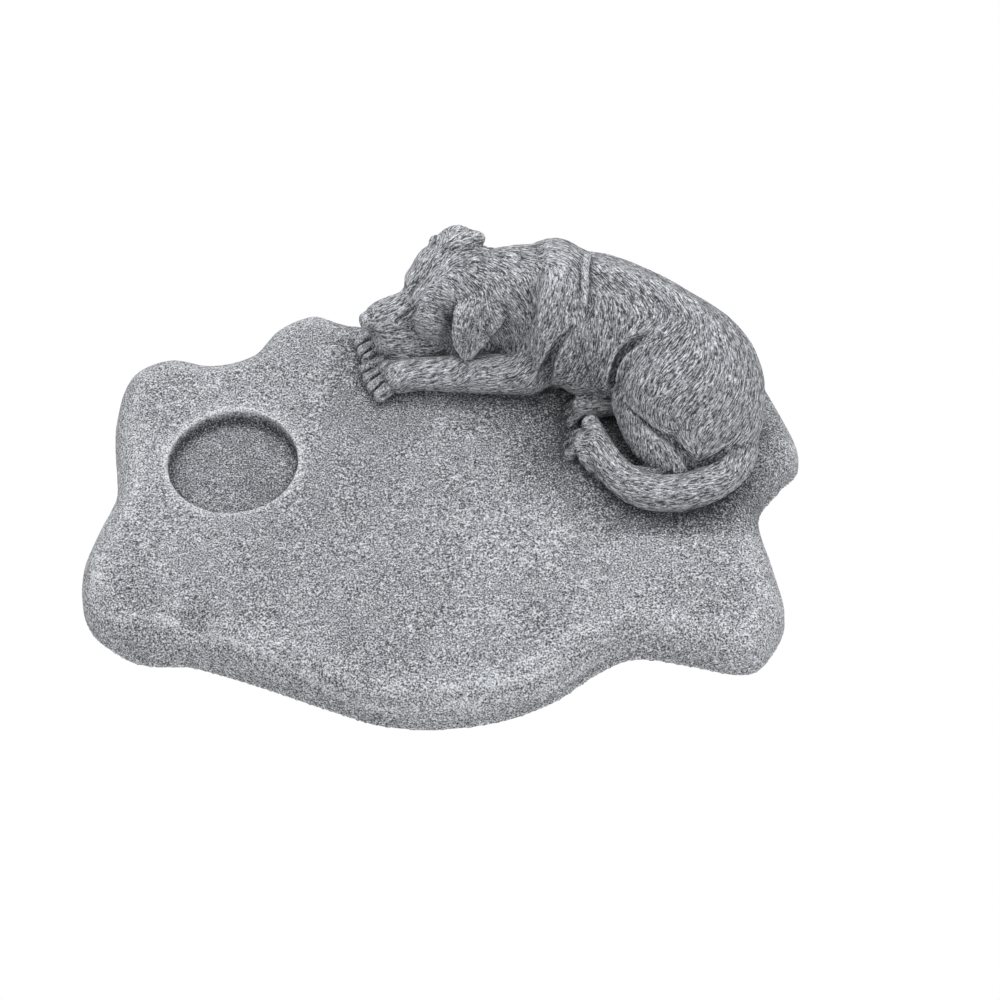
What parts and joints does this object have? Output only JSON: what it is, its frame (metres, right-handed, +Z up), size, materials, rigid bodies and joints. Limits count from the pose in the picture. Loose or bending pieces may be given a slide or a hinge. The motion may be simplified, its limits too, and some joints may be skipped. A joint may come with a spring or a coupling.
{
  "type": "pet memorial statue",
  "caption": "Sleeping dog cast in one with a flat, water-worn slab that has a round recess for a tealight.",
  "frame": {"origin": "centre of the bounding box, on the flat underside", "axes": "+X along the slab's length, from the candle recess towards the dog's rump; +Y from the viewer's side to the dog's back; +Z up"},
  "size_m": [0.225, 0.17, 0.06],
  "materials": {
    "cast_stone": "matt, dry-brushed pale on dark grey"
  },
  "bodies": {
    "root": {"pet_memorial_statue": "cast_stone"}
  },
  "joints": []
}
